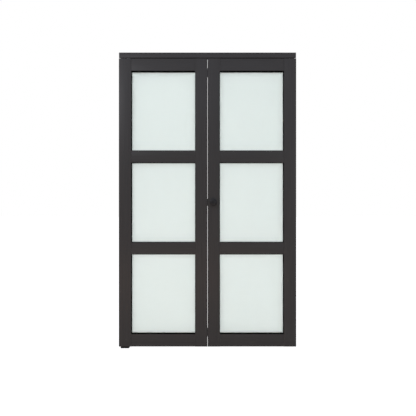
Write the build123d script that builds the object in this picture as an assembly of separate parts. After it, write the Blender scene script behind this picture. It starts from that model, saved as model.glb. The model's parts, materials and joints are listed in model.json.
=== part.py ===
from build123d import *
import math
import os

# Glazed bifold door with its head track, fascia and floor bracket. Millimetres.
# +X runs to the right along the closed door, the room side faces -Y, and +Z is up.
# The origin is on the floor, on the axis that the left leaf turns about, in the middle of its thickness.

# Whole door
door_width = 1219.2
door_height = 2032.0
floor_clearance = 12.0
top_clearance = 4.0
leaf_gap = 1.8

# Leaf frames
leaf_thickness = 35.0
stile_width = 85.0
rail_height = 85.0
lite_count = 3
arris = 1.0

# Glazing, set back from the front face
glass_recess = 24.0
glass_thickness = 5.0
glass_cover = 8.0
gasket_wall = 1.0
gasket_edge = 1.5
gasket_show = 0.5
rebate_width = 10.0
bead_setback = 1.0
bead_round = 3.0
mitre_gap = 0.1

# Joints of the frames
dowel_radius = 5.0
dowel_rail_depth = 30.0
dowel_sleeve_wall = 4.0
dowel_spread = 44.0
dowel_end_space = 1.0

# Fits
press_clearance = 0.05
running_clearance = 0.08

# Head track, a folded steel channel that is open downwards
track_width = 26.0
track_height = 34.0
track_wall = 1.6
track_lip = 1.2
track_bend = 2.0
track_end_inset = 3.0
track_hole_radius = 2.5
track_hole_end = 100.0
track_inner_holes = 400.0

# Fascia board in front of the track
fascia_height = 36.0
fascia_thickness = 6.0
fascia_end_inset = 1.5
fascia_screw_radius = 1.45
fascia_screw_length = 6.2
fascia_screw_head_radius = 2.6
fascia_screw_head = 1.2
fascia_screw_drop = 6.0
fascia_screw_count = 4
fascia_screw_end = 130.0

# Pivots and guide, which all stand in the outer stiles
pivot_inset = 43.0
sleeve_radius = 8.0
sleeve_depth = 60.0
sleeve_flange_radius = 12.0
sleeve_flange = 1.5
sleeve_cap = 18.0
chamber_radius = 5.7
collar_radius = 5.4
collar_height = 4.0
spigot_radius = 2.9
spigot_height = 6.0
spring_wire = 1.2
spring_radius = 4.3
spring_turns = 7
spring_end_space = 0.1
pivot_pin_radius = 4.75
pivot_pin_entry = 11.0
guide_pin_radius = 4.0
guide_journal_radius = 3.0
guide_head_radius = 5.0
guide_head = 1.5
wheel_radius = 9.5
wheel_height = 10.0
wheel_lift = 14.0
wheel_round = 1.5
wheel_end_play = 0.3

# Top pivot bracket, clamped in the track
top_bracket_front = 20.0
top_bracket_length = 50.0
top_bracket_roof_space = 2.8
top_bracket_side_space = 0.5
top_bracket_pin_depth = 13.0
clamp_screw_offset = 20.0
clamp_screw_radius = 3.0
clamp_socket_size = 3.0
clamp_socket_depth = 4.0
clamp_screw_lift = 1.5

# Floor bracket and the bottom pivot bolt that turns in it
bracket_length = 62.0
bracket_depth = 34.0
bracket_height = 10.5
bracket_undercut = 5.0
bracket_undercut_height = 7.0
bracket_round = 3.0
bracket_floor = 1.5
bracket_screw_spacing = 42.0
bracket_screw_radius = 2.3
bracket_screw_head_radius = 4.4
recess_radius = 9.0
recess_depth = 3.5
bottom_sleeve_depth = 45.0
bottom_flange = 1.0
bolt_radius = 5.0
bolt_length = 38.0
bolt_tip_radius = 4.75
hexagon_size = 13.0
hexagon_height = 3.3
hexagon_lift = 0.3

# Hinges, let into the stiles' edges, with their knuckles behind the back faces
hinge_count = 3
hinge_height = 49.0
hinge_end_distance = 88.0
hinge_plate = 1.4
hinge_face_space = 0.1
hinge_plate_depth = 30.0
hinge_corner = 4.0
knuckle_radius = 3.4
knuckle_count = 5
knuckle_gap = 0.2
knuckle_back_space = 0.6
plate_knuckle_space = 0.4
hinge_pin_radius = 1.6
hinge_pin_head_radius = 2.6
hinge_pin_head = 1.2
hinge_screw_radius = 1.9
hinge_screw_length = 25.0
hinge_screw_head_radius = 3.6
hinge_screw_pitch = 17.0
hinge_screw_stagger = 6.0
recess_cross = 4.0
recess_cross_width = 0.8
recess_cross_depth = 1.3

# Knob on the lead leaf
knob_from_gap = 40.0
knob_radius = 25.0
knob_rose_radius = 13.0
knob_rose = 2.5
knob_neck_radius = 8.5
knob_neck_height = 10.0
knob_rim_height = 20.0
knob_rim = 3.0
knob_height = 28.0
knob_screw_radius = 2.0
knob_screw_grip = 12.0
knob_screw_head_radius = 4.5
knob_screw_head = 2.2
knob_screw_round = 1.0

# Worked out from the sizes above
leaf_width = (door_width - leaf_gap) / 2
leaf_bottom = floor_clearance
leaf_top = door_height - fascia_height - top_clearance
leaf_height = leaf_top - leaf_bottom
leaf_middle = (leaf_top + leaf_bottom) / 2
front_y = -leaf_thickness / 2
back_y = leaf_thickness / 2
door_left = -pivot_inset
door_right = door_left + door_width
gap_x = (door_left + door_right) / 2
guide_x = door_right - pivot_inset
lite_height = (leaf_height - (lite_count + 1) * rail_height) / lite_count
lip_depth = glass_recess - gasket_wall
gasket_front = front_y + lip_depth
gasket_back = gasket_front + glass_thickness + 2 * gasket_wall
hinge_y = back_y + knuckle_back_space + knuckle_radius
hinge_mortise = hinge_plate + hinge_face_space - leaf_gap / 2
knuckle_bore = hinge_pin_radius + press_clearance
track_bottom = door_height - track_height
track_floor = track_bottom + track_wall
track_roof = door_height - track_wall
track_left = door_left + track_end_inset
track_right = door_right - track_end_inset
bore_floor = leaf_top - sleeve_depth
cap_bottom = leaf_top - sleeve_cap
collar_bottom = cap_bottom - collar_height
top_bracket_height = track_roof - track_floor - top_bracket_roof_space
wheel_bottom = track_bottom + wheel_lift
wheel_top = wheel_bottom + wheel_height
dowel_stile_depth = stile_width - pivot_inset - sleeve_radius - dowel_sleeve_wall
recess_floor = bracket_height - recess_depth
knob_x = gap_x + knob_from_gap
hinge_levels = [
    leaf_bottom + hinge_end_distance + i * (leaf_height - 2 * hinge_end_distance) / (hinge_count - 1)
    for i in range(hinge_count)
]

nodes = {}


def block(x0, x1, y0, y1, z0, z1):
    """A box between two corners, given in any order along X."""
    middle = Pos((x0 + x1) / 2, (y0 + y1) / 2, (z0 + z1) / 2)
    return middle * Box(abs(x1 - x0), y1 - y0, z1 - z0)


def rod(x, y, z0, z1, radius):
    """An upright cylinder."""
    return Pos(x, y, (z0 + z1) / 2) * Cylinder(radius, z1 - z0)


def rod_x(x0, x1, y, z, radius):
    """A cylinder that lies along X."""
    return Pos((x0 + x1) / 2, y, z) * Rot(0, 90, 0) * Cylinder(radius, abs(x1 - x0))


def rod_y(x, y0, y1, z, radius):
    """A cylinder that lies along Y."""
    return Pos(x, (y0 + y1) / 2, z) * Rot(90, 0, 0) * Cylinder(radius, y1 - y0)


def turned(points):
    """A solid turned about Z from (radius, height) points that start and end on the axis."""
    outline = Plane.XZ * make_face(Polyline(*points, close=True))
    return revolve(outline, Axis.Z)


def hexagon(x, y, z0, z1, across_flats):
    """An upright hexagonal prism."""
    shape = RegularPolygon(across_flats / 2, 6, major_radius=False)
    return extrude(Pos(x, y, z0) * shape, z1 - z0)


def group(solids):
    """Like pieces that share one node and stay separate solids."""
    return Compound(children=list(solids))


def countersunk_screw(length, radius, head_radius, grow=0.0):
    """A wood screw along +Z with its flat head at z = 0; grow widens it into a cutter for its hole."""
    head = head_radius - radius
    r = radius + grow
    points = [(0, -grow), (head_radius + grow, -grow), (head_radius + grow, 0)]
    points += [(r, head), (r, length - 2 * radius), (0, length + grow)]
    if grow == 0:
        points.pop(0)
        points[0] = (0, 0)
    body = turned(points)
    if grow == 0:
        for angle in (0, 90):
            slot = Box(recess_cross, recess_cross_width, 2 * recess_cross_depth)
            body -= Rot(0, 0, angle) * slot
    return body


# Leaf frames

def rail_bottom(i):
    """Height of the underside of rail i, counted from the bottom."""
    return leaf_bottom + i * (rail_height + lite_height)


def dowel_places(i):
    """Heights of the two dowels at each end of rail i."""
    middle = rail_bottom(i) + rail_height / 2
    return [middle - dowel_spread / 2, middle + dowel_spread / 2]


lites = [(rail_bottom(i) + rail_height, rail_bottom(i + 1)) for i in range(lite_count)]
lite_names = ["bottom", "middle", "top"]
rail_names = ["bottom_rail", "lower_rail", "upper_rail", "top_rail"]


def stile(inner_x, outer_x):
    """An upright of the frame, rebated behind each lite and bored for the rails' dowels."""
    body = block(inner_x, outer_x, front_y, back_y, leaf_bottom, leaf_top)
    body = chamfer(body.edges().filter_by(Axis.Z), arris)
    into = math.copysign(1, outer_x - inner_x)
    for z0, z1 in lites:
        body -= block(
            inner_x - into, inner_x + into * rebate_width,
            gasket_front, back_y + 1,
            z0 - rebate_width, z1 + rebate_width,
        )
    deep = dowel_stile_depth + dowel_end_space
    for i in range(lite_count + 1):
        for z in dowel_places(i):
            body -= rod_x(inner_x - into, inner_x + into * deep, 0, z, dowel_radius + press_clearance)
    return body


def rail(i, x0, x1):
    """A cross member, rebated along each edge that meets a lite."""
    z0 = rail_bottom(i)
    z1 = z0 + rail_height
    body = block(x0, x1, front_y, back_y, z0, z1)
    body = chamfer(body.edges().filter_by(Axis.X) + body.edges().filter_by(Axis.Z), arris)
    if i > 0:
        body -= block(x0 - 1, x1 + 1, gasket_front, back_y + 1, z0 - 1, z0 + rebate_width)
    if i < lite_count:
        body -= block(x0 - 1, x1 + 1, gasket_front, back_y + 1, z1 - rebate_width, z1 + 1)
    deep = dowel_rail_depth + dowel_end_space
    for z in dowel_places(i):
        for x, into in ((x0, 1), (x1, -1)):
            body -= rod_x(x - into, x + into * deep, 0, z, dowel_radius + press_clearance)
    return body


def dowels(x0, x1):
    """All the dowels of one leaf, each partly in a stile and partly in a rail."""
    for i in range(lite_count + 1):
        for z in dowel_places(i):
            for x, into in ((x0, 1), (x1, -1)):
                pin = rod_x(x - into * dowel_stile_depth, x + into * dowel_rail_depth, 0, z, dowel_radius)
                yield chamfer(pin.edges().filter_by(GeomType.CIRCLE), arris)


def gasket(x0, x1, z0, z1):
    """A rubber channel in one ring that wraps the edge of a pane."""
    out = glass_cover + gasket_edge
    ring = block(x0 - out, x1 + out, gasket_front, gasket_back, z0 - out, z1 + out)
    ring -= block(
        x0 + gasket_show, x1 - gasket_show,
        gasket_front - 1, gasket_back + 1,
        z0 + gasket_show, z1 - gasket_show,
    )
    return ring - pane(x0, x1, z0, z1)


def pane(x0, x1, z0, z1):
    return block(
        x0 - glass_cover, x1 + glass_cover,
        gasket_front + gasket_wall, gasket_back - gasket_wall,
        z0 - glass_cover, z1 + glass_cover,
    )


def beads(x0, x1, z0, z1):
    """Four mitred sticks that hold a pane from behind, with a rounded edge towards the pane."""
    bead_back = back_y - bead_setback
    ring = block(
        x0 - rebate_width, x1 + rebate_width,
        gasket_back, bead_back,
        z0 - rebate_width, z1 + rebate_width,
    )
    hole = block(x0, x1, gasket_back - 1, bead_back + 1, z0, z1)
    ring -= hole
    inner = [
        e for e in ring.edges()
        if abs(e.center().Y - bead_back) < 1e-6
        and x0 - 1e-6 <= e.center().X <= x1 + 1e-6
        and z0 - 1e-6 <= e.center().Z <= z1 + 1e-6
    ]
    ring = fillet(inner, bead_round)
    mid_x, mid_z = (x0 + x1) / 2, (z0 + z1) / 2
    half_x, half_z = (x1 - x0) / 2, (z1 - z0) / 2
    far_x, far_z = half_x + rebate_width, half_z + rebate_width
    for end in (1, -1):
        flat = [(-1, far_x, far_z), (1, far_x, far_z), (1, half_x, half_z), (-1, half_x, half_z)]
        level = [(side * (x - mitre_gap), end * z) for side, x, z in flat]
        upright = [(end * x, side * (z - mitre_gap)) for side, x, z in flat]
        for corners in (level, upright):
            face = make_face(Polyline(*corners, close=True))
            wedge = extrude(Plane.XZ.offset(-bead_back - 1) * Pos(mid_x, mid_z, 0) * face, leaf_thickness)
            yield (ring & wedge).solids()[0]


def leaf(name, outer_x, hinge_x):
    """One leaf's frame and glazing, from its outer edge to its hinged edge."""
    into = math.copysign(1, hinge_x - outer_x)
    x_a = outer_x + into * stile_width
    x_b = hinge_x - into * stile_width
    x0, x1 = min(x_a, x_b), max(x_a, x_b)
    nodes[f"{name}_outer_stile"] = stile(x_a, outer_x)
    nodes[f"{name}_hinge_stile"] = stile(x_b, hinge_x)
    for i, rail_name in enumerate(rail_names):
        nodes[f"{name}_{rail_name}"] = rail(i, x0, x1)
    nodes[f"{name}_dowels"] = group(dowels(x0, x1))
    for lite_name, (z0, z1) in zip(lite_names, lites):
        nodes[f"{name}_{lite_name}_glass"] = pane(x0, x1, z0, z1)
        nodes[f"{name}_{lite_name}_gasket"] = gasket(x0, x1, z0, z1)
        nodes[f"{name}_{lite_name}_beads"] = group(beads(x0, x1, z0, z1))


leaf("pivot_leaf", door_left, gap_x - leaf_gap / 2)
leaf("lead_leaf", door_right, gap_x + leaf_gap / 2)


# Hinges

plate_back = hinge_y - knuckle_radius - plate_knuckle_space
plate_front = plate_back - hinge_plate_depth
plate_middle = (plate_front + plate_back) / 2
knuckle_height = hinge_height / knuckle_count


def hinge_screw_places(side, z_middle):
    """Where the screws of one hinge plate start, and which way they go: side is -1 or 1."""
    x = gap_x + side * hinge_face_space
    for i in (-1, 0, 1):
        y = plate_middle + (abs(i) - 0.5) * hinge_screw_stagger
        yield Pos(x, y, z_middle + i * hinge_screw_pitch) * Rot(0, side * 90, 0)


def hinge_screw(grow=0.0):
    return countersunk_screw(hinge_screw_length, hinge_screw_radius, hinge_screw_head_radius, grow)


def hinge_plate_with_knuckles(side, z_middle, own_knuckles):
    """A plate let into the stile's edge, with the knuckles that belong to its side."""
    z0 = z_middle - hinge_height / 2
    x_a = gap_x + side * (leaf_gap / 2 + hinge_mortise)
    x_b = gap_x + side * hinge_face_space
    body = block(x_a, x_b, plate_front, plate_back, z0, z0 + hinge_height)
    corners = [e for e in body.edges().filter_by(Axis.X) if e.center().Y < plate_middle]
    body = fillet(corners, hinge_corner)
    for k in own_knuckles:
        low = z0 + k * knuckle_height + knuckle_gap / 2
        high = low + knuckle_height - knuckle_gap
        body += block(x_a, x_b, plate_back - hinge_plate, hinge_y, low, high)
        body += rod(gap_x, hinge_y, low, high, knuckle_radius)
    body -= rod(gap_x, hinge_y, z0 - 1, z0 + hinge_height + 1, knuckle_bore)
    for place in hinge_screw_places(side, z_middle):
        body -= place * hinge_screw(press_clearance)
    return body


def hinge_pocket(side, z_middle):
    """The shallow recess in a stile's edge that takes a hinge plate, open to the back."""
    half = hinge_height / 2 + press_clearance
    x_edge = gap_x + side * leaf_gap / 2
    pocket = block(
        x_edge - side, x_edge + side * hinge_mortise,
        plate_front - press_clearance, back_y + 1,
        z_middle - half, z_middle + half,
    )
    corners = [e for e in pocket.edges().filter_by(Axis.X) if e.center().Y < plate_middle]
    return fillet(corners, hinge_corner)


def hinge_pin(z_middle):
    top = z_middle + hinge_height / 2
    points = [(0, z_middle - hinge_height / 2), (hinge_pin_radius, z_middle - hinge_height / 2)]
    points += [(hinge_pin_radius, top), (hinge_pin_head_radius, top)]
    points += [(hinge_pin_head_radius, top + hinge_pin_head / 2), (hinge_pin_radius, top + hinge_pin_head)]
    points += [(0, top + hinge_pin_head)]
    return Pos(gap_x, hinge_y, 0) * turned(points)


hinge_names = ["bottom_hinge", "middle_hinge", "top_hinge"]
sides = {"pivot_leaf": -1, "lead_leaf": 1}
for name, z in zip(hinge_names, hinge_levels):
    nodes[f"{name}_pivot_plate"] = hinge_plate_with_knuckles(-1, z, range(0, knuckle_count, 2))
    nodes[f"{name}_lead_plate"] = hinge_plate_with_knuckles(1, z, range(1, knuckle_count, 2))
nodes["hinge_pins"] = group(hinge_pin(z) for z in hinge_levels)
for name, side in sides.items():
    places = [p for z in hinge_levels for p in hinge_screw_places(side, z)]
    nodes[f"{name}_hinge_screws"] = group(p * hinge_screw() for p in places)
    for z in hinge_levels:
        nodes[f"{name}_hinge_stile"] -= hinge_pocket(side, z)
    for place in places:
        nodes[f"{name}_hinge_stile"] -= place * hinge_screw(press_clearance)


# Knob

def cove(wide_radius, wide_height, neck_radius, neck_height):
    """A hollow curve from a wide edge to a neck, upright where it meets the neck."""
    run = wide_radius - neck_radius
    rise = wide_height - neck_height
    bend = (run ** 2 + rise ** 2) / (2 * run)
    centre_x = neck_radius + bend
    wide_angle = math.atan2(rise, wide_radius - centre_x) % (2 * math.pi)
    middle = (wide_angle + math.pi) / 2
    crest = (centre_x + bend * math.cos(middle), neck_height + bend * math.sin(middle))
    return ThreePointArc((wide_radius, wide_height), crest, (neck_radius, neck_height))


def knob():
    """A turned knob along +Z: a rose, a waist and a domed face, bored from below for its screw."""
    bore = knob_screw_radius + press_clearance
    rim_x = knob_radius - knob_rim / 2
    rim_low = knob_rim_height - knob_rim / 3
    rim_high = knob_rim_height + knob_rim
    lower = cove(knob_rose_radius, knob_rose, knob_neck_radius, knob_neck_height)
    upper = cove(rim_x, rim_low, knob_neck_radius, knob_neck_height)
    rim = ThreePointArc((rim_x, rim_low), (knob_radius, (rim_low + rim_high) / 2), (rim_x, rim_high))
    rise = knob_height - rim_high
    ball = (rim_x ** 2 + rise ** 2) / (2 * rise)
    half_turn = math.asin(rim_x / ball) / 2
    crown = (ball * math.sin(half_turn), knob_height - ball * (1 - math.cos(half_turn)))
    dome = ThreePointArc((rim_x, rim_high), crown, (0, knob_height))
    base = Polyline(
        (0, knob_height), (0, knob_screw_grip), (bore, knob_screw_grip), (bore, 0),
        (knob_rose_radius, 0), (knob_rose_radius, knob_rose),
    )
    outline = Plane.XZ * make_face(base + lower + upper + rim + dome)
    return revolve(outline, Axis.Z)


nodes["knob"] = Pos(knob_x, front_y, leaf_middle) * Rot(90, 0, 0) * knob()
knob_bore = rod_y(knob_x, front_y - 1, back_y + 1, leaf_middle, knob_screw_radius + press_clearance)
nodes["lead_leaf_hinge_stile"] -= knob_bore
knob_screw = rod_y(knob_x, front_y - knob_screw_grip, back_y, leaf_middle, knob_screw_radius)
knob_screw_cap = rod_y(knob_x, back_y, back_y + knob_screw_head, leaf_middle, knob_screw_head_radius)
knob_screw_cap = fillet(knob_screw_cap.faces().sort_by(Axis.Y)[-1].edges(), knob_screw_round)
knob_screw += knob_screw_cap
for angle in (0, 90):
    cross = Box(recess_cross, 2 * recess_cross_depth, recess_cross_width)
    knob_screw -= Pos(knob_x, back_y + knob_screw_head, leaf_middle) * Rot(0, angle, 0) * cross
nodes["knob_screw"] = knob_screw


# Top pivot and guide: a sleeve, a spring and a pin each

def top_sleeve(x, pin_radius):
    """A moulded sleeve pressed into the top of a stile, open below and narrow above its chamber."""
    body = rod(x, 0, bore_floor, leaf_top, sleeve_radius)
    body += rod(x, 0, leaf_top, leaf_top + sleeve_flange, sleeve_flange_radius)
    body -= rod(x, 0, bore_floor - 1, cap_bottom, chamber_radius)
    return body - rod(x, 0, cap_bottom - 1, leaf_top + sleeve_flange + 1, pin_radius + running_clearance)


def spring(x):
    """A compression spring between the floor of the bore and the pin's collar."""
    low = bore_floor + spring_wire / 2 + spring_end_space
    high = collar_bottom - spring_wire / 2 - spring_end_space
    path = Helix(pitch=(high - low) / spring_turns, height=high - low, radius=spring_radius)
    start = Plane(origin=path @ 0, z_dir=path % 0)
    coil = sweep(start * Circle(spring_wire / 2), path=path)
    return Pos(x, 0, low) * coil


def collared_pin(x, top_points):
    """A pin whose collar stops under the sleeve's cap, with a spigot that centres the spring."""
    points = [(0, collar_bottom - spigot_height), (spigot_radius, collar_bottom - spigot_height)]
    points += [(spigot_radius, collar_bottom), (collar_radius, collar_bottom), (collar_radius, cap_bottom)]
    return Pos(x, 0, 0) * turned(points + top_points)


def sleeve_bore(x):
    return rod(x, 0, bore_floor, leaf_top + 1, sleeve_radius + press_clearance)


pivot_pin_top = track_floor + pivot_pin_entry
nodes["top_pivot_sleeve"] = top_sleeve(0, pivot_pin_radius)
nodes["top_pivot_spring"] = spring(0)
nodes["top_pivot_pin"] = collared_pin(0, [
    (pivot_pin_radius, cap_bottom),
    (pivot_pin_radius, pivot_pin_top - arris),
    (pivot_pin_radius - arris, pivot_pin_top),
    (0, pivot_pin_top),
])
nodes["guide_sleeve"] = top_sleeve(guide_x, guide_pin_radius)
nodes["guide_spring"] = spring(guide_x)
head_bottom = wheel_top + wheel_end_play
shoulder = wheel_bottom - wheel_end_play
nodes["guide_pin"] = collared_pin(guide_x, [
    (guide_pin_radius, cap_bottom),
    (guide_pin_radius, shoulder),
    (guide_journal_radius, shoulder),
    (guide_journal_radius, head_bottom),
    (guide_head_radius, head_bottom),
    (guide_head_radius, head_bottom + guide_head / 2),
    (guide_head_radius - guide_head / 2, head_bottom + guide_head),
    (0, head_bottom + guide_head),
])
wheel = rod(guide_x, 0, wheel_bottom, wheel_top, wheel_radius)
wheel = fillet(wheel.edges(), wheel_round)
nodes["guide_wheel"] = wheel - rod(
    guide_x, 0, wheel_bottom - 1, wheel_top + 1, guide_journal_radius + running_clearance
)
nodes["pivot_leaf_outer_stile"] -= sleeve_bore(0)
nodes["lead_leaf_outer_stile"] -= sleeve_bore(guide_x)


# Bottom pivot and floor bracket

sleeve_end = leaf_bottom + bottom_sleeve_depth
bottom_sleeve = rod(0, 0, leaf_bottom, sleeve_end, sleeve_radius)
bottom_sleeve += rod(0, 0, leaf_bottom - bottom_flange, leaf_bottom, sleeve_flange_radius)
nodes["bottom_pivot_sleeve"] = bottom_sleeve - rod(
    0, 0, leaf_bottom - bottom_flange - 1, sleeve_end + 1, bolt_radius + press_clearance
)
nodes["pivot_leaf_outer_stile"] -= rod(0, 0, leaf_bottom - 1, sleeve_end, sleeve_radius + press_clearance)

hexagon_bottom = recess_floor + hexagon_lift
hexagon_top = hexagon_bottom + hexagon_height
bolt = rod(0, 0, bracket_floor, hexagon_bottom, bolt_tip_radius)
bolt += hexagon(0, 0, hexagon_bottom, hexagon_top, hexagon_size)
shank = rod(0, 0, hexagon_top, hexagon_top + bolt_length, bolt_radius)
bolt += chamfer(shank.faces().sort_by(Axis.Z)[-1].edges(), arris)
nodes["bottom_pivot_bolt"] = bolt

half_length = bracket_length / 2
outline = make_face(Polyline(
    (-half_length, 0),
    (half_length - bracket_undercut, 0),
    (half_length, bracket_undercut_height),
    (half_length, bracket_height),
    (-half_length, bracket_height),
    close=True,
))
bracket = extrude(Plane.XZ.offset(-bracket_depth / 2) * outline, bracket_depth)
bracket = fillet(bracket.edges().filter_by(Axis.Z), bracket_round)
bracket = chamfer(bracket.faces().sort_by(Axis.Z)[-1].edges(), arris)
bracket -= rod(0, 0, recess_floor, bracket_height + 1, recess_radius)
bracket -= rod(0, 0, bracket_floor, recess_floor + 1, bolt_tip_radius + running_clearance)
head_cone = bracket_screw_head_radius - bracket_screw_radius
for x in (-bracket_screw_spacing / 2, bracket_screw_spacing / 2):
    bracket -= rod(x, 0, -1, bracket_height + 1, bracket_screw_radius)
    bracket -= Pos(x, 0, bracket_height - head_cone / 2) * Cone(
        bracket_screw_radius, bracket_screw_head_radius, head_cone
    )
nodes["floor_bracket"] = bracket


# Head track and fascia

outer = fillet(Rectangle(track_width, track_height).vertices(), track_bend)
inner_width = track_width - 2 * track_wall
inner = fillet(Rectangle(inner_width, track_height - 2 * track_wall).vertices(), track_bend - track_wall)
slot = Pos(0, -track_height / 2) * Rectangle(inner_width - 2 * track_lip, track_height / 2)
section = outer - inner - slot
track_middle = (track_left, 0, door_height - track_height / 2)
track_plane = Plane(origin=track_middle, x_dir=(0, 1, 0), z_dir=(1, 0, 0))
track = extrude(track_plane * section, track_right - track_left)
track_holes = [track_left + track_hole_end, track_right - track_hole_end]
track_holes += [gap_x - track_inner_holes / 2, gap_x + track_inner_holes / 2]
for x in track_holes:
    track -= rod(x, 0, track_roof - 1, door_height + 1, track_hole_radius)

fascia_back = -track_width / 2
fascia_front = fascia_back - fascia_thickness
fascia = block(
    door_left + fascia_end_inset, door_right - fascia_end_inset,
    fascia_front, fascia_back,
    door_height - fascia_height, door_height,
)
fascia = chamfer(fascia.faces().sort_by(Axis.Y)[0].edges(), arris)

screw_z = track_roof - fascia_screw_drop
screw_head_y = fascia_back + track_wall
screw_step = (door_width - 2 * fascia_screw_end) / (fascia_screw_count - 1)
fascia_screws = []
for i in range(fascia_screw_count):
    x = door_left + fascia_screw_end + i * screw_step
    tip = screw_head_y - fascia_screw_length
    hole = rod_y(x, tip - press_clearance, screw_head_y + 1, screw_z, fascia_screw_radius + press_clearance)
    track -= hole
    fascia -= hole
    screw = rod_y(x, tip, screw_head_y, screw_z, fascia_screw_radius)
    screw += rod_y(x, screw_head_y, screw_head_y + fascia_screw_head, screw_z, fascia_screw_head_radius)
    fascia_screws.append(screw)
nodes["head_track"] = track
nodes["fascia"] = fascia
nodes["fascia_screws"] = group(fascia_screws)

half_width = inner_width / 2 - top_bracket_side_space
top_bracket = block(
    -top_bracket_front, top_bracket_length - top_bracket_front,
    -half_width, half_width,
    track_floor, track_floor + top_bracket_height,
)
top_bracket = chamfer(top_bracket.edges().filter_by(Axis.Z), arris)
top_bracket -= rod(
    0, 0, track_floor - 1, track_floor + top_bracket_pin_depth, pivot_pin_radius + running_clearance
)
clamp_bottom = track_floor + clamp_screw_lift
top_bracket -= rod(
    clamp_screw_offset, 0,
    track_floor - 1, track_floor + top_bracket_height + 1,
    clamp_screw_radius + press_clearance,
)
nodes["top_pivot_bracket"] = top_bracket
clamp_screw = rod(clamp_screw_offset, 0, clamp_bottom, track_roof, clamp_screw_radius)
clamp_screw -= hexagon(
    clamp_screw_offset, 0, clamp_bottom - 1, clamp_bottom + clamp_socket_depth, clamp_socket_size
)
nodes["top_pivot_clamp_screw"] = clamp_screw


os.makedirs("parts", exist_ok=True)
for name, shape in nodes.items():
    export_step(shape, f"parts/{name}.step")
print(len(nodes), "nodes")
print("leaf", round(leaf_width, 2), "x", round(leaf_height, 2), "lite height", round(lite_height, 2))
print("hinge axis", round(gap_x, 3), round(hinge_y, 3), "guide axis", round(guide_x, 3))
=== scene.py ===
# %% [markdown]
# A glazed bifold door, dressed for a picture.
# The door itself is already built to size: every stile, pane and pin comes in as a fixed model, in
# metres, with +X to the right, the room on the -Y side and +Z up. This lesson gives those pieces
# their finishes, models again the few that deserve finer forms, and sets up the light and the
# camera. A piece is never moved, because its place is its job.

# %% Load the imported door
import json
import math

import bmesh
import bpy
from mathutils import Matrix, Vector


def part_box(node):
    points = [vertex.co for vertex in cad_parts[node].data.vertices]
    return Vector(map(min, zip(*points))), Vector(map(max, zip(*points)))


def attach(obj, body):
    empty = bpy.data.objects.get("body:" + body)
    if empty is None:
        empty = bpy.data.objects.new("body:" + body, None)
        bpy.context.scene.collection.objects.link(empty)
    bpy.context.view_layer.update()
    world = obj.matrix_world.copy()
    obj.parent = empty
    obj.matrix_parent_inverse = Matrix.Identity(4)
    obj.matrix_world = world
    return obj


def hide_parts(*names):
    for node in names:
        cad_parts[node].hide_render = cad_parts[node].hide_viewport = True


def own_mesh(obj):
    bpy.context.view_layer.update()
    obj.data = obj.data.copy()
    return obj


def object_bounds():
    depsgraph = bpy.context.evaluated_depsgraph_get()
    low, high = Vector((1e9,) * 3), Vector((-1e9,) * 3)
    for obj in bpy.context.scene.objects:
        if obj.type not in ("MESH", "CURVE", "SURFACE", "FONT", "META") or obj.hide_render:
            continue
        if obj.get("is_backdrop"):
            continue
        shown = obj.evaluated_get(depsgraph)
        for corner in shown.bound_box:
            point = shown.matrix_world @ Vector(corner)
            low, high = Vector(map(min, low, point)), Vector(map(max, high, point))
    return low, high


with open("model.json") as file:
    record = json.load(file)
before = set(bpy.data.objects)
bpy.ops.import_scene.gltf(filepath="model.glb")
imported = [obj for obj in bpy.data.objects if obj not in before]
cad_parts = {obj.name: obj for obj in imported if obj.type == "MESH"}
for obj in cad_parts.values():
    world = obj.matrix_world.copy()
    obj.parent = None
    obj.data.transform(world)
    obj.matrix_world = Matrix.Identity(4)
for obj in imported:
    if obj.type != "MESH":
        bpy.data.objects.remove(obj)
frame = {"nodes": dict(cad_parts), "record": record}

mm = 0.001
nodes = frame["nodes"]
bodies = frame["record"]["behaviour"]["bodies"]
body_of = {node: body for body, members in bodies.items() for node in members}
slot_of = {row["node"]: row["material_slot"] for row in frame["record"]["subparts"]}
cad_box = [list(corner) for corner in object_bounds()]
print("door size in mm:", [round((high - low) / mm) for low, high in zip(*cad_box)])

# %% [markdown]
# Colours are easiest to pick as the hex values of a screen, but a renderer adds up light, so it
# needs linear numbers. One function turns the one into the other, and every colour below goes
# through it. The odd numbers in it are those of the sRGB standard.

# %% A colour from its hex value
def linear(hex_value):
    """Red, green and blue as linear light, and a full alpha."""
    shown = [int(hex_value[i:i + 2], 16) / 255 for i in (1, 3, 5)]
    return [v / 12.92 if v <= 0.04045 else ((v + 0.055) / 1.055) ** 2.4 for v in shown] + [1.0]

# %% [markdown]
# A material is a small tree of nodes. Adding a node always means the same three things: make it,
# set it, and link its inputs. One helper does that for every kind of node, so that each material
# reads as a short recipe. An input is given as a plain value, or as the output of another node,
# which is then linked.

# %% One helper for every node
def add(tree, kind, inputs=(), **settings):
    node = tree.nodes.new(kind)
    for name, value in settings.items():
        setattr(node, name, value)
    for name, value in dict(inputs).items():
        if isinstance(value, bpy.types.NodeSocket):
            tree.links.new(value, node.inputs[name])
        else:
            node.inputs[name].default_value = value
    return node


def new_material(name):
    """An empty material, and the tree that its nodes go into."""
    material = bpy.data.materials.new(name)
    material.use_nodes = True
    material.node_tree.nodes.clear()
    return material, material.node_tree


def per_mm(size):
    """The scale that makes a pattern's features about so many millimetres wide."""
    return 1 / (size * mm)

# %% [markdown]
# The frame is engineered wood, sprayed with a satin espresso lacquer. Up close such a coat has
# three signs: faint grain lines that telegraph through along each board, a slight orange peel
# from the spray gun, and a sheen that is not quite even. The grain has to run along the board, so
# uprights and cross members each get their own stretch. The real peel is about 1 mm across, and
# is drawn at 3 mm, as fine as this picture can show.

# %% Satin lacquer on wood
GRAIN_WIDTH, GRAIN_LENGTH, CLOUD_SIZE, PEEL_SIZE = 1.6, 260, 340, 3  # in mm
SKIN_DEPTH = 0.1 * mm


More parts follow.
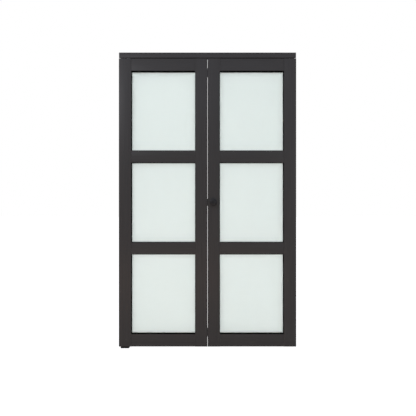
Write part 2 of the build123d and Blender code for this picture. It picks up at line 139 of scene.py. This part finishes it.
def satin_lacquer(name, grain_along):
    material, tree = new_material(name)
    place = add(tree, "ShaderNodeTexCoord").outputs["Object"]
    stretch = [per_mm(GRAIN_LENGTH if axis == grain_along else GRAIN_WIDTH) for axis in "XYZ"]
    along = add(tree, "ShaderNodeMapping", {"Vector": place, "Scale": stretch}).outputs["Vector"]
    grain = add(tree, "ShaderNodeTexNoise", {
        "Vector": along, "Scale": 1.0, "Detail": 4.0, "Roughness": 0.6,
    })
    cloud = add(tree, "ShaderNodeTexNoise", {
        "Vector": place, "Scale": per_mm(CLOUD_SIZE), "Detail": 2.0,
    })
    peel = add(tree, "ShaderNodeTexNoise", {
        "Vector": place, "Scale": per_mm(PEEL_SIZE), "Detail": 1.0,
    })
    tone = add(tree, "ShaderNodeValToRGB", {"Fac": grain.outputs["Fac"]})
    dark, light = tone.color_ramp.elements
    dark.position, dark.color = 0.3, linear("#292828")
    light.position, light.color = 0.7, linear("#323131")
    sheen = add(tree, "ShaderNodeMapRange", {
        "Value": cloud.outputs["Fac"], "To Min": 0.36, "To Max": 0.46,
    })
    heights = add(tree, "ShaderNodeMath", {
        0: peel.outputs["Fac"], 1: grain.outputs["Fac"],
    }, operation="ADD")
    relief = add(tree, "ShaderNodeBump", {
        "Height": heights.outputs[0], "Strength": 0.06, "Distance": SKIN_DEPTH,
    })
    shader = add(tree, "ShaderNodeBsdfPrincipled", {
        "Base Color": tone.outputs["Color"],
        "Roughness": sheen.outputs["Result"],
        "Specular IOR Level": 0.12,
        "Normal": relief.outputs["Normal"],
    })
    add(tree, "ShaderNodeOutputMaterial", {"Surface": shader.outputs["BSDF"]})
    return material


lacquer_upright = satin_lacquer("satin_espresso_lacquer_upright", "Z")
lacquer_level = satin_lacquer("satin_espresso_lacquer_level", "X")

# %% [markdown]
# The panes are tempered float glass, etched with acid on one face. Etched glass passes light but
# breaks up the image, and float glass has a little green in it, so the pane reads as a pale mint
# white. It could be pure rough glass, but then the pane would only be as bright as what stands
# behind it. Real etched glass also scatters light back from its face, so the shader is mostly
# transmission with a share of plain scatter.

# %% Acid-etched glass
ETCH_SIZE, HAZE_SIZE = 0.8, 180  # in mm
ETCH_DEPTH = 0.05 * mm


def etched_glass():
    material, tree = new_material("acid_etched_glass")
    place = add(tree, "ShaderNodeTexCoord").outputs["Object"]
    etch = add(tree, "ShaderNodeTexNoise", {
        "Vector": place, "Scale": per_mm(ETCH_SIZE), "Detail": 2.0,
    })
    haze = add(tree, "ShaderNodeTexNoise", {
        "Vector": place, "Scale": per_mm(HAZE_SIZE), "Detail": 2.0,
    })
    rough = add(tree, "ShaderNodeMapRange", {
        "Value": haze.outputs["Fac"], "To Min": 0.8, "To Max": 0.9,
    })
    relief = add(tree, "ShaderNodeBump", {
        "Height": etch.outputs["Fac"], "Strength": 0.08, "Distance": ETCH_DEPTH,
    })
    shader = add(tree, "ShaderNodeBsdfPrincipled", {
        "Base Color": linear("#e6edea"),
        "Roughness": rough.outputs["Result"],
        "IOR": 1.5,
        "Transmission Weight": 0.85,
        "Normal": relief.outputs["Normal"],
    })
    add(tree, "ShaderNodeOutputMaterial", {"Surface": shader.outputs["BSDF"]})
    return material


frosted_glass = etched_glass()

# %% [markdown]
# The rest is hardware. Painted metal, plastic and rubber differ mostly in colour, roughness and
# the size of the bumps on their skin, so one recipe with those numbers covers them all. Handling
# leaves larger patches that are a little lighter, and that shine a little more or less. Each entry
# below is one real finish: powder coat on the knob and track, black oxide on screws, bright zinc
# on pins and springs, moulded nylon, extruded EPDM rubber.

# %% Coated, plated and moulded finishes
PATCH_TO_GRAIN = 14  # how much wider a patch of wear is than a bump of the skin
UNEVEN = 0.05  # how far wear moves the roughness either way


def coated(name, dark, light, grain_mm, bump, rough, metallic=0.0, specular=0.5):
    material, tree = new_material(name)
    place = add(tree, "ShaderNodeTexCoord").outputs["Object"]
    skin = add(tree, "ShaderNodeTexNoise", {
        "Vector": place, "Scale": per_mm(grain_mm), "Detail": 3.0,
    })
    wear = add(tree, "ShaderNodeTexNoise", {
        "Vector": place, "Scale": per_mm(grain_mm * PATCH_TO_GRAIN), "Detail": 3.0,
    })
    tone = add(tree, "ShaderNodeValToRGB", {"Fac": wear.outputs["Fac"]})
    fresh, worn = tone.color_ramp.elements
    fresh.position, fresh.color = 0.35, linear(dark)
    worn.position, worn.color = 0.65, linear(light)
    spread = add(tree, "ShaderNodeMapRange", {
        "Value": wear.outputs["Fac"], "To Min": rough - UNEVEN, "To Max": rough + UNEVEN,
    })
    relief = add(tree, "ShaderNodeBump", {
        "Height": skin.outputs["Fac"], "Strength": bump, "Distance": SKIN_DEPTH,
    })
    shader = add(tree, "ShaderNodeBsdfPrincipled", {
        "Base Color": tone.outputs["Color"],
        "Roughness": spread.outputs["Result"],
        "Metallic": metallic,
        "Specular IOR Level": specular,
        "Normal": relief.outputs["Normal"],
    })
    add(tree, "ShaderNodeOutputMaterial", {"Surface": shader.outputs["BSDF"]})
    return material


finishes = {  # slot: name, darker and lighter colour, grain in mm, bump, roughness
    "gasket_rubber": coated(
        "extruded_epdm_rubber", "#0d0d0d", "#141414", 0.6, 0.15, 0.75, specular=0.3),
    "black_track": coated(
        "black_powder_coated_steel", "#161617", "#1d1d1f", 0.9, 0.2, 0.45),
    "black_cast_bracket": coated(
        "black_cast_zinc", "#060606", "#0a0a0b", 1.1, 0.3, 0.55, specular=0.03),
    "black_hinge_plate": coated(
        "black_stoved_steel", "#1a1a1b", "#232325", 0.8, 0.12, 0.4, specular=0.25),
    "black_knob": coated(
        "matt_black_powder_coat", "#171718", "#1d1d1f", 0.7, 0.15, 0.4, specular=0.12),
    "black_screws": coated(
        "black_oxide_steel", "#232326", "#303034", 0.4, 0.1, 0.38, metallic=1.0),
    "zinc_steel": coated(
        "bright_zinc_plate", "#a9acb0", "#c4c7cb", 0.3, 0.08, 0.3, metallic=1.0),
    "galvanised_track": coated(
        "passivated_zinc_casting", "#8f9296", "#a9acaf", 1.4, 0.25, 0.42, metallic=1.0),
    "nylon_sleeve": coated(
        "black_moulded_nylon", "#151515", "#1d1d1d", 1.2, 0.12, 0.5),
    "nylon_wheel": coated(
        "natural_moulded_nylon", "#dcd9cf", "#e8e5dc", 1.2, 0.08, 0.42),
    "frosted_glass": frosted_glass,
}

# %% [markdown]
# Dowels are turned beech: pale, with short dark flecks along the grain. They are hidden once the
# frame is glued, but a part in a library is taken apart and looked at, so they get their wood as
# well.

# %% Turned beech
FLECK_LENGTH, FLECK_WIDTH = 12, 1  # in mm


def turned_beech():
    material, tree = new_material("turned_beech")
    place = add(tree, "ShaderNodeTexCoord").outputs["Object"]
    stretch = [per_mm(size) for size in (FLECK_LENGTH, FLECK_WIDTH, FLECK_WIDTH)]
    along = add(tree, "ShaderNodeMapping", {"Vector": place, "Scale": stretch}).outputs["Vector"]
    fleck = add(tree, "ShaderNodeTexNoise", {"Vector": along, "Scale": 1.0, "Detail": 4.0})
    tone = add(tree, "ShaderNodeValToRGB", {"Fac": fleck.outputs["Fac"]})
    dark, light = tone.color_ramp.elements
    dark.position, dark.color = 0.35, linear("#a9805a")
    light.position, light.color = 0.6, linear("#cda77d")
    relief = add(tree, "ShaderNodeBump", {
        "Height": fleck.outputs["Fac"], "Strength": 0.2, "Distance": SKIN_DEPTH,
    })
    shader = add(tree, "ShaderNodeBsdfPrincipled", {
        "Base Color": tone.outputs["Color"],
        "Roughness": 0.6,
        "Normal": relief.outputs["Normal"],
    })
    add(tree, "ShaderNodeOutputMaterial", {"Surface": shader.outputs["BSDF"]})
    return material


finishes["beech_dowel"] = turned_beech()

# %% [markdown]
# Now every piece takes the finish of its slot. Only the lacquer needs a second look, because its
# grain follows the board: rails, beads and the fascia lie level, stiles stand upright.

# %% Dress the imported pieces
def finish_for(node):
    slot = slot_of[node]
    if slot != "dark_frame_paint":
        return finishes[slot]
    return lacquer_upright if node.endswith("_stile") else lacquer_level


for name, obj in nodes.items():
    obj.data.materials.clear()
    obj.data.materials.append(finish_for(name))
print(len(nodes), "pieces dressed in", len(bpy.data.materials), "materials")

# %% [markdown]
# A new piece always ends the same way: its normals are made to point outwards, it becomes an
# object at the origin, it takes the finish of its CAD twin's slot and the twin's body, and the twin
# is hidden. Flat faces stay flat and curved ones are shaded smooth: an edge is kept sharp where its
# two faces meet at more than thirty degrees, unless a piece asks for another angle.

# %% Finishing a new piece
def finish_piece(bm, twin, *more_finishes, sharp=30):
    bmesh.ops.recalc_face_normals(bm, faces=bm.faces)
    for face in bm.faces:
        face.smooth = True
    for edge in bm.edges:
        two_sided = len(edge.link_faces) == 2
        edge.smooth = two_sided and edge.calc_face_angle(0) < math.radians(sharp)
    mesh = bpy.data.meshes.new(twin + "_dressed")
    bm.to_mesh(mesh)
    bm.free()
    piece = bpy.data.objects.new(twin + "_dressed", mesh)
    bpy.context.scene.collection.objects.link(piece)
    for material in (finish_for(twin), *more_finishes):
        mesh.materials.append(material)
    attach(piece, body_of[twin])
    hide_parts(twin)
    return piece

# %% [markdown]
# Planed boards have their long edges eased with a sanding block, castings have no sharp edges
# because a sharp edge in the mould would wear, and hinge plates are tumbled after punching. The
# CAD pieces have one flat bevel there, or a sharp edge, and both catch the light as a hard line.
# Each piece could be modelled again, but a copy whose edges are rounded keeps every hole and
# pocket in its place. The CAD triangles are loose, so the copy is first merged into one clean
# shell, and its flat faces are joined.

# %% Rounding the edges of a copy
WELD = 0.002 * mm
FLAT = math.radians(0.5)

# How far the rounding reaches and the shortest edge that gets it, in mm, and the flattest and
# steepest corner that counts as an edge, in degrees.
EASED = {"reach": 0.4, "flattest": 35, "steepest": 55, "shortest": 20}
CAST = {"reach": 0.35, "flattest": 35, "steepest": 55, "shortest": 4}
TUMBLED = {"reach": 0.2, "flattest": 80, "steepest": 100, "shortest": 12}


def merged_copy(twin):
    bm = bmesh.new()
    bm.from_mesh(nodes[twin].data)
    bmesh.ops.remove_doubles(bm, verts=bm.verts, dist=WELD)
    bmesh.ops.dissolve_limit(bm, angle_limit=FLAT, verts=bm.verts, edges=bm.edges)
    return bm


def rounded_copy(twin, reach, flattest, steepest, shortest):
    bm = merged_copy(twin)
    edges = []
    for edge in bm.edges:
        if len(edge.link_faces) == 2 and edge.calc_length() > shortest * mm:
            if math.radians(flattest) < edge.calc_face_angle(0) < math.radians(steepest):
                edges.append(edge)
    bmesh.ops.bevel(bm, geom=edges, offset=reach * mm, offset_type="OFFSET", affect="EDGES",
                    segments=2, profile=0.5, material=-1, clamp_overlap=True)
    return bm

# %% [markdown]
# Stiles and rails are lacquered alike, and once the leaf is glued up its edges inside the openings
# carry the same lacquer. Those edges look at a pane and lie in shade, and that shade is painted: the
# faces take a second, nearly black and dull finish that is painted shade, not a coat of the door.
# They could be separate strips, but a second finish on just those faces leaves each board in one
# piece.

# %% Boards with eased edges
ACROSS_STILE, ACROSS_RAIL = 0, 2  # the axes X and Z
SQUARE_ON = 0.9
# Painted shade: a nearly black, dull finish for the board faces that look at a pane, where shade
# falls.
reveal_painted_shade = coated("matt_black_painted_shade", "#050505", "#090909", 1.5, 0.1, 0.9, specular=0.02)
leaf_low, leaf_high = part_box("pivot_leaf_outer_stile")
glass_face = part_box("pivot_leaf_top_glass")[0].y
leaf_sides = [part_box(node)[end].x for node, end in (
    ("pivot_leaf_outer_stile", 0), ("pivot_leaf_hinge_stile", 1),
    ("lead_leaf_hinge_stile", 0), ("lead_leaf_outer_stile", 1),
)]


def looks_at_pane(face, across):
    """Whether a board's face looks at a pane; across is the axis that crosses the board."""
    middle = face.calc_center_median()
    leaf_ends = leaf_sides if across == ACROSS_STILE else (leaf_low.z, leaf_high.z)
    outside = min(abs(middle[across] - end) for end in leaf_ends) < mm
    return abs(face.normal[across]) > SQUARE_ON and middle.y < glass_face and not outside


boards = []
for twin in [node for node in nodes if node.endswith(("_stile", "_rail"))]:
    bm = rounded_copy(twin, **EASED)
    across = ACROSS_STILE if twin.endswith("_stile") else ACROSS_RAIL
    # Faces that look at a pane take the painted shade.
    for face in bm.faces:
        if looks_at_pane(face, across):
            face.material_index = 1
    boards.append(finish_piece(bm, twin, reveal_painted_shade))
print(len(boards), "boards with", sum(len(board.data.polygons) for board in boards), "faces")

# %% [markdown]
# The fascia is a painted board as well, and hides the track. The floor bracket and the top pivot
# bracket are castings, and each hinge has two punched plates. All of them are copied and rounded
# in the same way as the boards, with their own radius.

# %% Fascia, castings and hinge plates
plates = [node for node in nodes if node.endswith("_plate")]
for twin, edges in (
    ("fascia", EASED), ("floor_bracket", CAST), ("top_pivot_bracket", CAST),
    *((plate, TUMBLED) for plate in plates),
):
    finish_piece(rounded_copy(twin, **edges), twin)
print("fascia, two castings and", len(plates), "hinge plates rounded")

# %% [markdown]
# Round parts are made on a lathe, and Blender's spin is a lathe: half the outline of the part is
# drawn as a few points of radius and height, and turned once around. The first and last points
# lie on the axis, or for a ring the outline is closed. Corners that the turner rounds off are
# bevelled on the outline before it is turned. The box of the CAD twin says how large and where.

# %% A lathe
UP, TO_ROOM = (0, 0, 1), (0, -1, 0)
CORNER_SEGMENTS = 6


def middle_of(node):
    return [(low + high) / 2 for low, high in zip(*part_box(node))]


def size_of(node):
    """Width, depth and height in mm."""
    return [(high - low) / mm for low, high in zip(*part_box(node))]


def turned(outline, base, along, steps, ring=False, rounding=()):
    """Outline points are (radius, height) from base, rounding is (point number, radius), in mm."""
    bm = bmesh.new()
    base, along = Vector(base), Vector(along).normalized()
    side = along.orthogonal().normalized()
    points = [bm.verts.new(base + (side * r + along * h) * mm) for r, h in outline]
    for a, b in zip(points, points[1:] + points[:1] if ring else points[1:]):
        bm.edges.new((a, b))
    for number, radius in rounding:
        bmesh.ops.bevel(bm, geom=[points[number]], offset=radius * mm, offset_type="OFFSET",
                        affect="VERTICES", segments=CORNER_SEGMENTS, profile=0.5, material=-1)
    bmesh.ops.spin(bm, geom=bm.verts[:] + bm.edges[:], cent=base, axis=along, angle=math.tau,
                   steps=steps, use_merge=True)
    bmesh.ops.remove_doubles(bm, verts=bm.verts, dist=WELD)
    return bm

# %% [markdown]
# The knob is turned from zinc and powder coated: a rose against the door, a waist for the
# fingertips, a rounded rim and a shallow dome. From the front only the dome and rim show, lighter
# in the middle and darker towards the rim, because the dome turns away from the light there. A
# smooth outline is what makes that shading even. The dome is part of a ball, and the ball's radius
# follows from how far the dome rises over the width of the rim. A blind hole in the foot takes the
# screw.

# %% Knob
KNOB_STEPS = 72
ROSE_RADIUS, ROSE_HEIGHT = 13, 2.5
WAIST_RADIUS, WAIST_LOW, WAIST_HIGH = 8.5, 4.5, 13.5
RIM_BEVEL, RIM_BACK, RIM_LOW, RIM_HIGH, DOME_FOOT = 1.5, 19, 20.4, 22.2, 23
HOLE_RADIUS, HOLE_DEPTH = 2.05, 12
DOME_RINGS = range(0, 24, 3)  # radii in mm
knob_x, _, knob_z = middle_of("knob")
knob_radius = size_of("knob")[0] / 2
knob_height = (leaf_low.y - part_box("knob")[0].y) / mm
rim = knob_radius - RIM_BEVEL
dome_rise = knob_height - DOME_FOOT
ball = (rim ** 2 + dome_rise ** 2) / (2 * dome_rise)
dome = [(r, knob_height - ball + math.sqrt(ball ** 2 - r ** 2)) for r in (*DOME_RINGS, rim)]
outline = dome + [
    (knob_radius, RIM_HIGH), (knob_radius, RIM_LOW), (rim, RIM_BACK),
    (WAIST_RADIUS, WAIST_HIGH), (WAIST_RADIUS, WAIST_LOW), (ROSE_RADIUS, ROSE_HEIGHT),
    (ROSE_RADIUS, 0), (HOLE_RADIUS, 0), (HOLE_RADIUS, HOLE_DEPTH), (0, HOLE_DEPTH),
]
dome_end = len(dome) - 1
rim_back, waist_high, waist_low = dome_end + 3, dome_end + 4, dome_end + 5
knob = turned(outline, (knob_x, leaf_low.y, knob_z), TO_ROOM, KNOB_STEPS, rounding=[
    (waist_high, 3.5), (waist_low, 3), (rim_back, 1.2), (dome_end, 0.6),
])
knob_piece = finish_piece(knob, "knob", sharp=50)
print("knob", round(2 * knob_radius, 1), "mm across,", len(knob_piece.data.polygons), "faces")

# %% [markdown]
# The guide wheel is moulded in nylon. A solid disc would sink in where the plastic is thick, so a
# real one has a thin web between its tread and its hub. Its outline is a closed ring, and its
# rounded tread runs between the track's walls.

# %% Guide wheel
WHEEL_STEPS = 64
BORE, HUB_RADIUS, TREAD_INSIDE, WEB_RECESS, TREAD_ROUNDING = 3.08, 4.6, 7.4, 2.2, 1.5
wheel_x, wheel_y, _ = middle_of("guide_wheel")
wheel_width, _, wheel_height = size_of("guide_wheel")
outline = [
    (BORE, 0), (HUB_RADIUS, 0), (HUB_RADIUS, WEB_RECESS),
    (TREAD_INSIDE, WEB_RECESS), (TREAD_INSIDE, 0), (wheel_width / 2, 0),
]
corner = len(outline) - 1
outline += [(r, wheel_height - h) for r, h in reversed(outline)]
wheel_foot = (wheel_x, wheel_y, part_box("guide_wheel")[0].z)
wheel = turned(outline, wheel_foot, UP, WHEEL_STEPS, ring=True, rounding=[
    (corner, TREAD_ROUNDING), (corner + 1, TREAD_ROUNDING),
])
finish_piece(wheel, "guide_wheel", sharp=40)
print("wheel", round(wheel_width, 1), "mm across, web", round(wheel_height - 2 * WEB_RECESS, 1))

# %% [markdown]
# A screw thread is a ridge that climbs as it goes round. Spin can climb as it turns, so a small
# triangle is spun for many turns with a little lift at each step, and its two ends are closed. Its
# foot is a little narrower than the pitch, so that neighbouring turns don't touch.

# %% A thread
THREAD_STEPS = 14
RIDGE_HALF = 0.42  # half the ridge's foot, as a share of the pitch


def add_thread(bm, start, along, core, crest, pitch, length):
    """A ridge from radius core to crest, all in mm, that climbs from start."""
    along = Vector(along).normalized()
    side = along.orthogonal().normalized()
    start = Vector(start)
    half = RIDGE_HALF * pitch
    triangle = ((core, -half), (crest, 0), (core, half))
    points = [bm.verts.new(start + (side * r + along * h) * mm) for r, h in triangle]
    first = bm.faces.new(points)
    turns = length / pitch
    steps = round(turns * THREAD_STEPS)
    spun = bmesh.ops.spin(bm, geom=first.edges[:], cent=start, axis=along,
                          angle=math.tau * turns, steps=steps,
                          dvec=along * (length / steps) * mm)
    bm.faces.new([v for v in spun["geom_last"] if isinstance(v, bmesh.types.BMVert)])

# %% [markdown]
# The wood screws of the hinges keep the CAD's countersunk heads and plain shanks, and get a ridge
# that bites into the wood. Each plate has three, of which the middle one is nearer to the room.
# A ridge starts just behind its head, which is a fixed way from the middle of the gap.

# %% Hinge screws
SCREW_CORE, SCREW_CREST, SCREW_PITCH = 1.8, 2.3, 1.6
RIDGE_START, RIDGE_LENGTH = 5, 15
LEVELS = ("bottom", "middle", "top")
SCREW_PLACES = ((-17, 5.7), (0, -0.3), (17, 5.7))  # height on the plate, and depth in the door
gap_left, gap_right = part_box("pivot_leaf_hinge_stile")[1].x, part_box("lead_leaf_hinge_stile")[0].x
gap_middle = (gap_left + gap_right) / 2
for leaf, side in (("pivot_leaf", -1), ("lead_leaf", 1)):
    twin = leaf + "_hinge_screws"
    bm = merged_copy(twin)
    start_x = gap_middle + side * RIDGE_START * mm
    for level in LEVELS:
        plate_z = middle_of(level + "_hinge_pivot_plate")[2]
        for rise, depth in SCREW_PLACES:
            start = (start_x, depth * mm, plate_z + rise * mm)
            add_thread(bm, start, (side, 0, 0), SCREW_CORE, SCREW_CREST, SCREW_PITCH,
                       RIDGE_LENGTH)
    finish_piece(bm, twin)
print(len(LEVELS) * len(SCREW_PLACES), "screws in each leaf, threaded over", RIDGE_LENGTH, "mm")

# %% [markdown]
# The pivot bolt has a plain tip that turns in the floor bracket, a hexagon for the spanner that
# sets the door's height, and a thread that goes up into its sleeve. It could be the CAD bolt with
# a ridge added, but that would be too thick for the sleeve. So it is turned with a thinner core,
# and its thread ends at the size of the plain CAD shank.

# %% Bottom pivot bolt
BOLT_STEPS = 48
TIP_HEIGHT, TIP_RADIUS, TIP_END, TIP_BEVEL = 5.8, 4.75, 3.6, 1.2
CORE_RADIUS, CORE_END, CORE_BEVEL = 4.3, 3.5, 0.8
HEX_HEIGHT, HEX_RADIUS, HEX_EASING = 3.3, 7.5, 0.3
THREAD_CORE, THREAD_CREST, THREAD_PITCH = 4.2, 4.98, 1.5
PLAIN_LOW, PLAIN_TOTAL = 1.2, 3  # unthreaded shank above the hexagon, and at both ends together
bolt_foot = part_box("bottom_pivot_bolt")[0].z
bolt_length = size_of("bottom_pivot_bolt")[2]
bolt = turned([
    (0, 0), (TIP_END, 0), (TIP_RADIUS, TIP_BEVEL), (TIP_RADIUS, TIP_HEIGHT),
    (CORE_RADIUS, TIP_HEIGHT), (CORE_RADIUS, bolt_length - CORE_BEVEL),
    (CORE_END, bolt_length), (0, bolt_length),
], (0, 0, bolt_foot), UP, BOLT_STEPS)
thread_foot = (0, 0, bolt_foot + (TIP_HEIGHT + HEX_HEIGHT + PLAIN_LOW) * mm)
thread_length = bolt_length - TIP_HEIGHT - HEX_HEIGHT - PLAIN_TOTAL
add_thread(bolt, thread_foot, UP, THREAD_CORE, THREAD_CREST, THREAD_PITCH, thread_length)
hex_place = Matrix.Translation((0, 0, bolt_foot + (TIP_HEIGHT + HEX_HEIGHT / 2) * mm))
hex_turn = Matrix.Rotation(math.radians(30), 4, "Z")
hexagon = bmesh.ops.create_cone(
    bolt, cap_ends=True, segments=6, radius1=HEX_RADIUS * mm, radius2=HEX_RADIUS * mm,
    depth=HEX_HEIGHT * mm, matrix=hex_place @ hex_turn)
hex_edges = list({edge for vertex in hexagon["verts"] for edge in vertex.link_edges})
bmesh.ops.bevel(bolt, geom=hex_edges, offset=HEX_EASING * mm, offset_type="OFFSET",
                affect="EDGES", segments=2, profile=0.5, material=-1)
finish_piece(bolt, "bottom_pivot_bolt")
print("bolt", round(bolt_length, 1), "mm long, threaded over", round(thread_length, 1))

# %% [markdown]
# Two coil springs push the top pivot and the guide up. A spring that has to stand straight is
# wound with its last turns closed, so that each end is nearly a flat ring, and only the turns
# between them are open. Spinning a small circle with a lift makes such a wire, first with little
# lift, then with much, then with little again.
# The coil can't move as one stiff piece: its foot stays in the sleeve while the pin comes down. So
# Each coil gets a mesh of its own, and the length that the pin's travel presses it to is printed.

# %% Coil springs
WIRE_RADIUS, WIRE_SIDES, COIL_STEPS = 0.6, 10, 28
CLOSED_TURNS, OPEN_TURNS, PIN_TRAVEL = 1, 5, 16
CLOSED_PITCH = 2.1 * WIRE_RADIUS
closed_lift = CLOSED_TURNS * CLOSED_PITCH


def wound(bm, ring, centre, turns, lift):
    """Carry the wire's last ring on for some turns and a whole lift in mm; gives the new ring."""
    steps = round(turns * COIL_STEPS)
    spun = bmesh.ops.spin(bm, geom=ring, cent=centre, axis=UP, angle=math.tau * turns,
                          steps=steps, dvec=(0, 0, lift / steps * mm))
    return [part for part in spun["geom_last"] if isinstance(part, bmesh.types.BMEdge)]


for twin, joint in (("top_pivot_spring", "top_pivot_press"), ("guide_spring", "guide_press")):
    spring_x, spring_y, _ = middle_of(twin)
    centre = Vector((spring_x, spring_y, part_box(twin)[0].z))
    width, _, length = size_of(twin)
    coil_radius = width / 2 - WIRE_RADIUS
    bm = bmesh.new()
    place = Matrix.Translation(centre + Vector((coil_radius, 0, WIRE_RADIUS)) * mm)
    upright = Matrix.Rotation(math.radians(90), 4, "X")
    bmesh.ops.create_circle(bm, segments=WIRE_SIDES, radius=WIRE_RADIUS * mm,
                            matrix=place @ upright)
    first_ring = ring = bm.edges[:]
    open_lift = length - 2 * WIRE_RADIUS - 2 * closed_lift
    for turns, lift in (
        (CLOSED_TURNS, closed_lift), (OPEN_TURNS, open_lift), (CLOSED_TURNS, closed_lift),
    ):
        ring = wound(bm, ring, centre, turns, lift)
    for end in (first_ring, ring):
        bmesh.ops.contextual_create(bm, geom=end)
    piece = finish_piece(bm, twin, sharp=60)
    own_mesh(piece)
    print(twin, round(length, 1), "mm long, pressed to", round(length - PIN_TRAVEL, 1))

# %% [markdown]
# The door hangs in a plain white studio. More light on the door would make such a background
# white, but would wash out the door's own colours as well. So what the eye sees and what lights
# the door are kept apart: a camera, mirror or glass ray meets plain white, while the light on the
# door stays at the level at which a colour renders as it is written.

# %% World
AMBIENT = 0.88


def seen_directly(tree):
    """1 for a ray from the camera, off a glossy surface or through glass."""
    path = add(tree, "ShaderNodeLightPath")
    first = add(tree, "ShaderNodeMath", {
        0: path.outputs["Is Camera Ray"], 1: path.outputs["Is Glossy Ray"],
    }, operation="MAXIMUM")
    either = add(tree, "ShaderNodeMath", {
        0: first.outputs[0], 1: path.outputs["Is Transmission Ray"],
    }, operation="MAXIMUM")
    return either.outputs[0]


world = bpy.data.worlds.new("white_studio")
bpy.context.scene.world = world
world.use_nodes = True
sky = world.node_tree
sky.nodes.clear()
seen = add(sky, "ShaderNodeBackground", {"Color": linear("#ffffff"), "Strength": 1.0})
lights = add(sky, "ShaderNodeBackground", {"Color": linear("#f7f8ff"), "Strength": AMBIENT})
mixed = add(sky, "ShaderNodeMixShader", {
    "Fac": seen_directly(sky), 1: lights.outputs[0], 2: seen.outputs[0],
})
add(sky, "ShaderNodeOutputWorld", {"Surface": mixed.outputs[0]})

# %% [markdown]
# The floor is one sheet, so large that any look from the side still sees it as floor. For the door
# it is a warm pale sheet that sends some light back up. For the eye it glows by itself nearly to
# white, and a faint grey coat over that glow adds the rest and takes the door's shadow.

# %% Floor
FLOOR_HALF_WIDTH = 30  # in metres
floor_material, ground = new_material("white_studio_floor")
sheet = add(ground, "ShaderNodeBsdfDiffuse", {"Color": linear("#e0d6cb")})
glow = add(ground, "ShaderNodeEmission", {"Color": linear("#ffffff"), "Strength": 0.9})
faint = add(ground, "ShaderNodeBsdfDiffuse", {"Color": linear("#8a8a8a")})
shown = add(ground, "ShaderNodeAddShader", {0: glow.outputs[0], 1: faint.outputs[0]})
floor_mix = add(ground, "ShaderNodeMixShader", {
    "Fac": seen_directly(ground), 1: sheet.outputs[0], 2: shown.outputs[0],
})
add(ground, "ShaderNodeOutputMaterial", {"Surface": floor_mix.outputs[0]})

bm = bmesh.new()
bmesh.ops.create_grid(bm, x_segments=1, y_segments=1, size=FLOOR_HALF_WIDTH)
floor_mesh = bpy.data.meshes.new("studio_floor")
bm.to_mesh(floor_mesh)
bm.free()
floor = bpy.data.objects.new("studio_floor", floor_mesh)
bpy.context.scene.collection.objects.link(floor)
floor.data.materials.append(floor_material)
floor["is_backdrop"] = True
print("floor", 2 * FLOOR_HALF_WIDTH, "m wide, at the height of the door's foot")

# %% [markdown]
# The photograph was taken square on, from about two metres, with the lens at about half the door's
# height. That short distance matters: it is why the openings' upper edges, nearly black with painted
# shade, show in the top panes, and hardly in the middle. The camera's width is worked out from the
# door itself, so that the door fills the same share of the picture.

# %% Camera
PHOTO_SIZE = 416
DOOR_LEFT_PX, DOOR_RIGHT_PX, FLOOR_PX = 118.8, 296.25, 348.3
DISTANCE = 2.0
SENSOR = 36.0
door_left, door_right = cad_box[0][0], cad_box[1][0]
pixel = (door_right - door_left) / (DOOR_RIGHT_PX - DOOR_LEFT_PX)
camera_data = bpy.data.cameras.new("square_on")
camera_data.sensor_width = SENSOR
camera_data.lens = SENSOR * DISTANCE / (PHOTO_SIZE * pixel)
camera = bpy.data.objects.new("square_on", camera_data)
bpy.context.scene.collection.objects.link(camera)
camera.location = (
    door_left + (PHOTO_SIZE / 2 - DOOR_LEFT_PX) * pixel,
    leaf_low.y - DISTANCE,
    (FLOOR_PX - PHOTO_SIZE / 2) * pixel,
)
camera.rotation_euler = (math.radians(90), 0, 0)
bpy.context.scene.camera = camera
print("one pixel is", round(pixel / mm, 3), "mm, lens", round(camera_data.lens, 2), "mm")

# %% [markdown]
# The room itself gives most of the light, and soft lamps only shape it. A long cool one above the
# camera lightens the top of the frame, a smaller one high on the left gives the stile its edge and
# throws the knob's shadow down to the right, and a weak one keeps the right side from going dull.
# A low warm one stands for the light that a pale wooden floor sends back up.

# %% Lamps
lamps = (  # name, place, aim, width and height in metres, watts, colour
    ("cool_above", (0.6, -2.2, 2.8), (0.6, 0, 1.5), (3.4, 0.6), 15, "#dbe6ff"),
    ("key_left", (-1.35, -2.1, 2.6), (0.5, 0, 1.0), (0.5, 0.5), 24, "#f4f6ff"),
    ("fill_right", (2.3, -1.9, 1.4), (1.0, 0, 1.2), (0.6, 1.2), 6, "#f6f7ff"),
    ("warm_low", (0.2, -1.5, 0.06), (0.4, 0, 0.2), (2.6, 0.4), 9, "#ffc69a"),
)
for name, place, aim, size, power, colour in lamps:
    data = bpy.data.lights.new(name, "AREA")
    data.shape = "RECTANGLE"
    data.size, data.size_y = size
    data.energy = power
    data.color = linear(colour)[:3]
    lamp = bpy.data.objects.new(name, data)
    bpy.context.scene.collection.objects.link(lamp)
    lamp.location = place
    lamp.rotation_euler = (Vector(aim) - Vector(place)).to_track_quat("-Z", "Y").to_euler()
print(len(lamps), "soft lamps around the door")

# %% [markdown]
# Last, the picture is left as plain as a passport photo: the Standard view shows a colour as it
# is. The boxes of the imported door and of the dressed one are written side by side, because
# dressing must not make it grow.

# %% View and sizes
bpy.context.scene.view_settings.view_transform = "Standard"
dressed_box = [list(corner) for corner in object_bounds()]
corners = zip(dressed_box[1] + dressed_box[0], cad_box[1] + cad_box[0])
print("grown by mm:", [round((dressed - packed) / mm, 2) for dressed, packed in corners])
